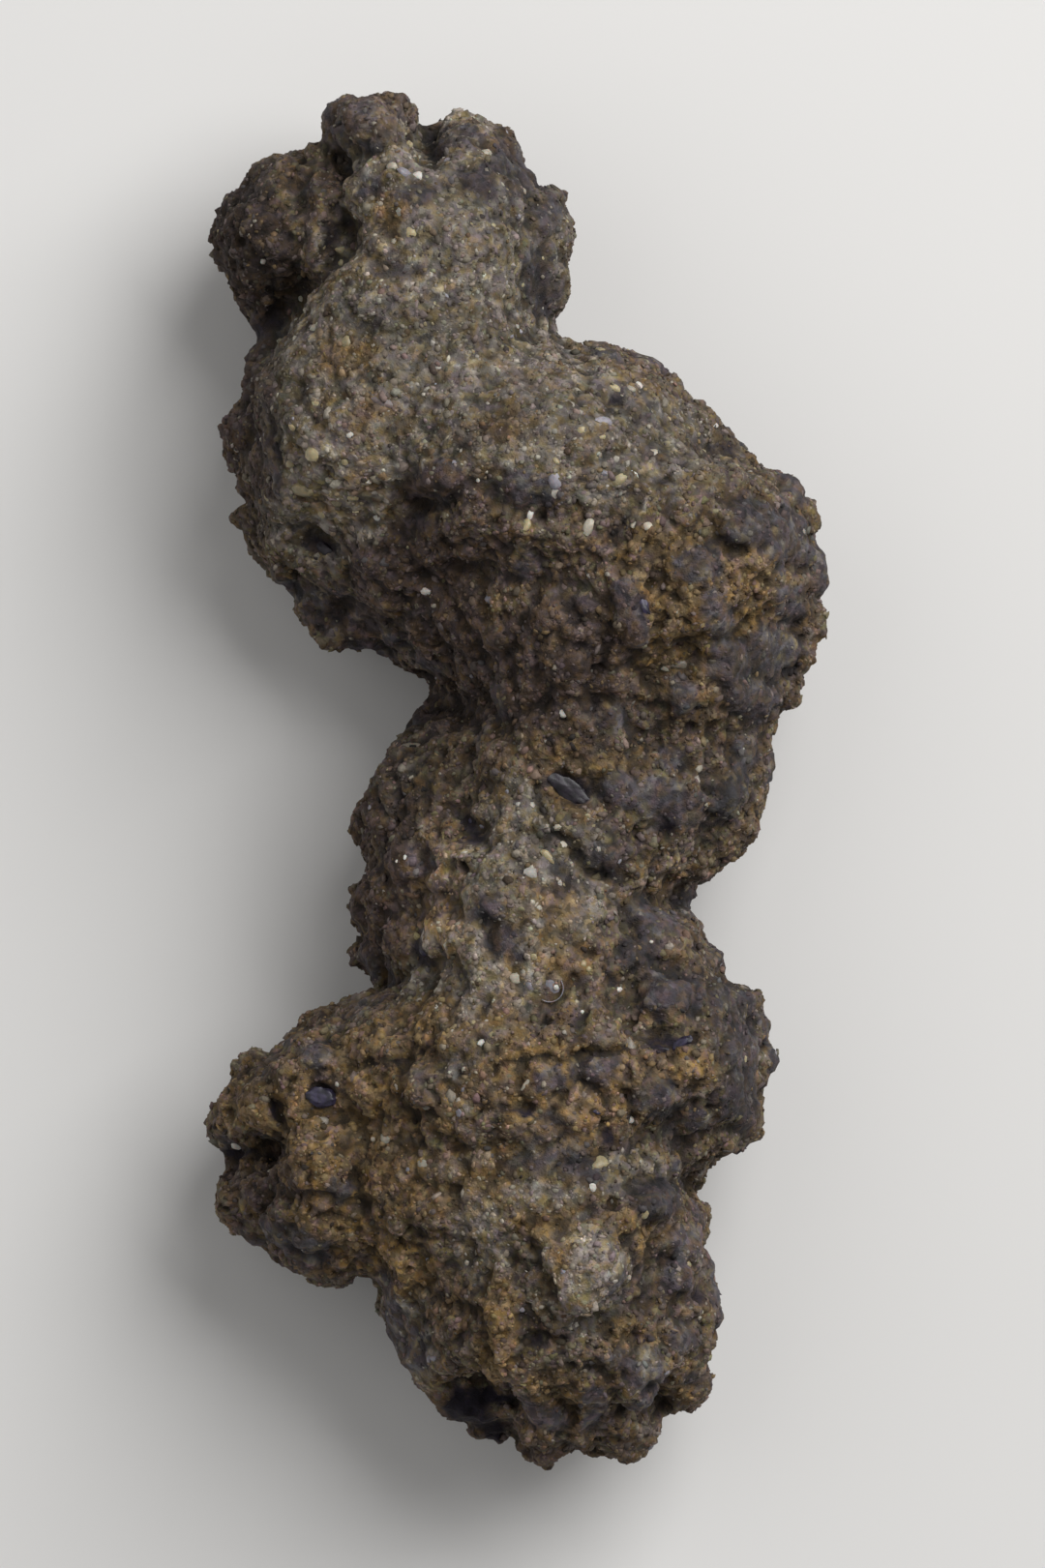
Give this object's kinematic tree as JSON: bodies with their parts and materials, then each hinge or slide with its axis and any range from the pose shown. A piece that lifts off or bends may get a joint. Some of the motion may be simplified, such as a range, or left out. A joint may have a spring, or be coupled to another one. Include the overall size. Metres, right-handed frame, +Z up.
{
  "type": "coprolite",
  "caption": "Elongated, lumpy, sand-crusted natural stone with a knobbed head end, a pinched waist, a side horn and a blunt tail, lying on a small worn flat.",
  "frame": {"origin": "middle of the bounding box seen from above, on the plane that the stone rests on", "axes": "+Z up, +Y along the stone towards its head end, +X to the right when seen from above with the head end up"},
  "size_m": [0.0452, 0.1, 0.03],
  "materials": {
    "sandy_stone": "matte brown sandy stone with ochre and grey-blue nodules, pale sand grains and a few glossy black pits"
  },
  "bodies": {
    "root": {"coprolite": "sandy_stone"}
  },
  "joints": []
}
